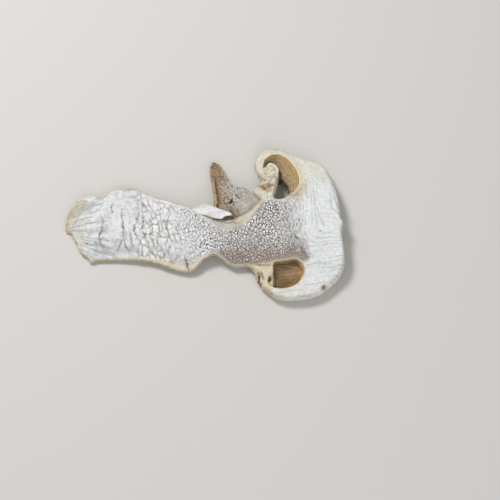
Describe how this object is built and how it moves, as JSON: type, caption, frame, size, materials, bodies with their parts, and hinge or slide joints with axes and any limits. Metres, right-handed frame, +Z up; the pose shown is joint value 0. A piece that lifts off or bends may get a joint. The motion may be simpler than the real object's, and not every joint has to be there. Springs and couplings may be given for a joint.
{
  "type": "dried matsutake mushroom slice",
  "caption": "Lengthwise slice of a dried mushroom: broad wrinkled stem, anchor-shaped cap with rolled margins over gills, and a torn ring at the neck.",
  "frame": {"origin": "bottom centre of the slice's bounding box, on the surface that it lies on", "axes": "+X along the stem from its foot to the crown of the cap, +Y across the slice towards the side with the ring, +Z up through the slice's thickness"},
  "size_m": [0.1124, 0.066, 0.009],
  "materials": {
    "flesh": "matt, dry, off-white",
    "gills": "matt, dry, tan to olive-brown",
    "ring": "matt, fibrous, greyish beige"
  },
  "bodies": {
    "root": {"dried_slice": "flesh"}
  },
  "joints": []
}
